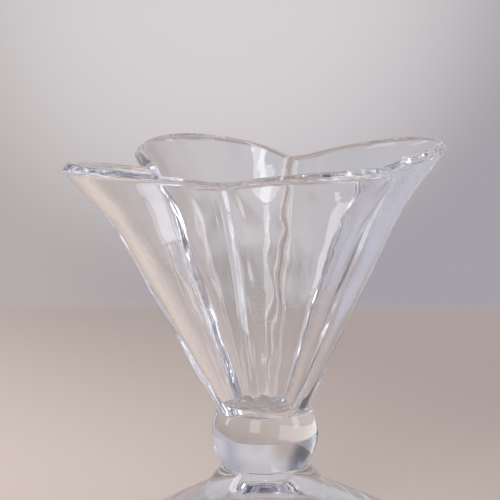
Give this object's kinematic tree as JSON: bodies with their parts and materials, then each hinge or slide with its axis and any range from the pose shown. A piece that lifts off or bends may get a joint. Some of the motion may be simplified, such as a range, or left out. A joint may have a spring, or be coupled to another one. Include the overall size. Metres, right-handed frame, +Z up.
{
  "type": "footed ice cream bowl",
  "caption": "Clear pressed-glass footed bowl for ice cream: a tall petal-lobed cup with a flared rim on a solid ball knop and a hollow round foot.",
  "frame": {"origin": "on the axis of the bowl, in the plane that the foot stands on", "axes": "+Z up along the axis; X and Y run through the notches between the petals"},
  "size_m": [0.0992, 0.0992, 0.1163],
  "materials": {
    "clear_glass": "gloss"
  },
  "bodies": {
    "root": {"bowl": "clear_glass", "knop": "clear_glass", "foot": "clear_glass"}
  },
  "joints": []
}
